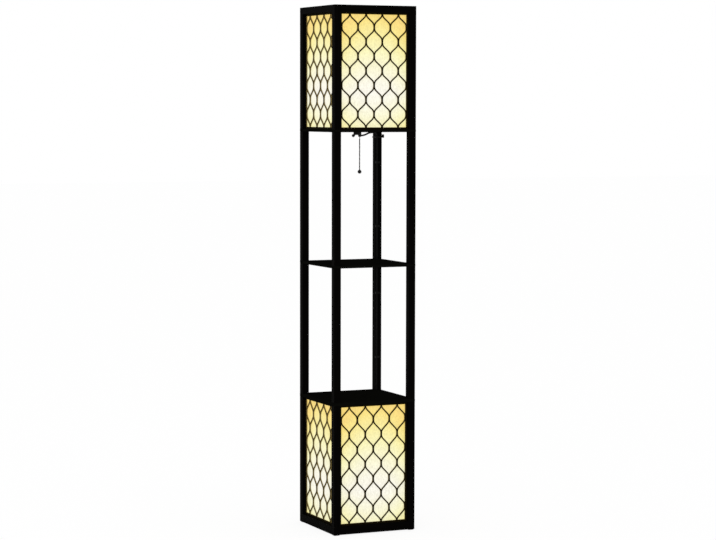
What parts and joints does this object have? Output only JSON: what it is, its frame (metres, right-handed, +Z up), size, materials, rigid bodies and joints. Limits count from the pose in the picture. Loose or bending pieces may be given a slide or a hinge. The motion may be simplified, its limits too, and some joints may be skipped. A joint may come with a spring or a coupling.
{
  "type": "shelf floor lamp",
  "caption": "Square floor lamp with two lattice-sided light boxes joined by four posts, two open shelf bays and a bead-chain pull switch.",
  "frame": {"origin": "middle of the footprint, on the floor", "axes": "+Z up, -Y the front, +X to the right seen from the front"},
  "size_m": [0.264, 0.261, 1.544],
  "materials": {
    "frame_black": "black satin paint on timber",
    "shelf_black": "black satin laminate board",
    "lattice_black": "black satin, cut board",
    "diffuser": "pale translucent linen sheet",
    "bulb_glass": "frosted",
    "lampholder_plastic": "moulded",
    "zinc_steel": "zinc plated",
    "switch_black": "moulded, half gloss",
    "chain_steel": "nickel plated",
    "ball_black": "gloss black",
    "lead_pvc": "matt flexible sheath",
    "clip_black": "moulded",
    "pad_felt": "felt"
  },
  "bodies": {
    "frame": {"bottom_rail_front": "frame_black", "bottom_rail_left": "frame_black", "bottom_rail_rear": "frame_black", "bottom_rail_right": "frame_black", "foot_pads": "pad_felt", "lampholder_nipples": "zinc_steel", "lampholder_nuts": "zinc_steel", "lead": "lead_pvc", "lead_clips": "clip_black", "lead_tie": "clip_black", "lower_bay_post_front_left": "frame_black", "lower_bay_post_front_right": "frame_black", "lower_bay_post_rear_left": "frame_black", "lower_bay_post_rear_right": "frame_black", "lower_box_post_front_left": "frame_black", "lower_box_post_front_right": "frame_black", "lower_box_post_rear_left": "frame_black", "lower_box_post_rear_right": "frame_black", "lower_box_top": "shelf_black", "lower_bulb": "bulb_glass", "lower_diffuser_front": "diffuser", "lower_diffuser_left": "diffuser", "lower_diffuser_rear": "diffuser", "lower_diffuser_right": "diffuser", "lower_lampholder": "lampholder_plastic", "lower_lampholder_bar": "shelf_black", "lower_lattice_front": "lattice_black", "lower_lattice_left": "lattice_black", "lower_lattice_rear": "lattice_black", "lower_lattice_right": "lattice_black", "middle_shelf": "shelf_black", "post_studs": "zinc_steel", "switch_housing": "switch_black", "top_rail_front": "frame_black", "top_rail_left": "frame_black", "top_rail_rear": "frame_black", "top_rail_right": "frame_black", "upper_bay_post_front_left": "frame_black", "upper_bay_post_front_right": "frame_black", "upper_bay_post_rear_left": "frame_black", "upper_bay_post_rear_right": "frame_black", "upper_box_floor": "shelf_black", "upper_box_post_front_left": "frame_black", "upper_box_post_front_right": "frame_black", "upper_box_post_rear_left": "frame_black", "upper_box_post_rear_right": "frame_black", "upper_bulb": "bulb_glass", "upper_diffuser_front": "diffuser", "upper_diffuser_left": "diffuser", "upper_diffuser_rear": "diffuser", "upper_diffuser_right": "diffuser", "upper_lampholder": "lampholder_plastic", "upper_lattice_front": "lattice_black", "upper_lattice_left": "lattice_black", "upper_lattice_rear": "lattice_black", "upper_lattice_right": "lattice_black"},
    "plunger": {"switch_plunger": "chain_steel"},
    "chain_swivel": {"chain_swivel": "chain_steel"},
    "pull": {"pull_chain": "chain_steel", "pull_ball": "ball_black"}
  },
  "joints": [
    {"name": "switch_pull", "type": "slide", "parent": "frame", "child": "plunger", "axis": [0, 0, -1], "range_m": [0, 0.006], "stiffness_N_per_m": 400, "springref_m": -0.002},
    {"name": "chain_swing_fore_aft", "type": "hinge", "parent": "plunger", "child": "chain_swivel", "pos_m": [0.0074, 0, 1.1583], "axis": [1, 0, 0], "range_deg": [-40, 40]},
    {"name": "chain_swing_sideways", "type": "hinge", "parent": "chain_swivel", "child": "pull", "pos_m": [0.0074, 0, 1.1583], "axis": [0, 1, 0], "range_deg": [-40, 40]}
  ]
}
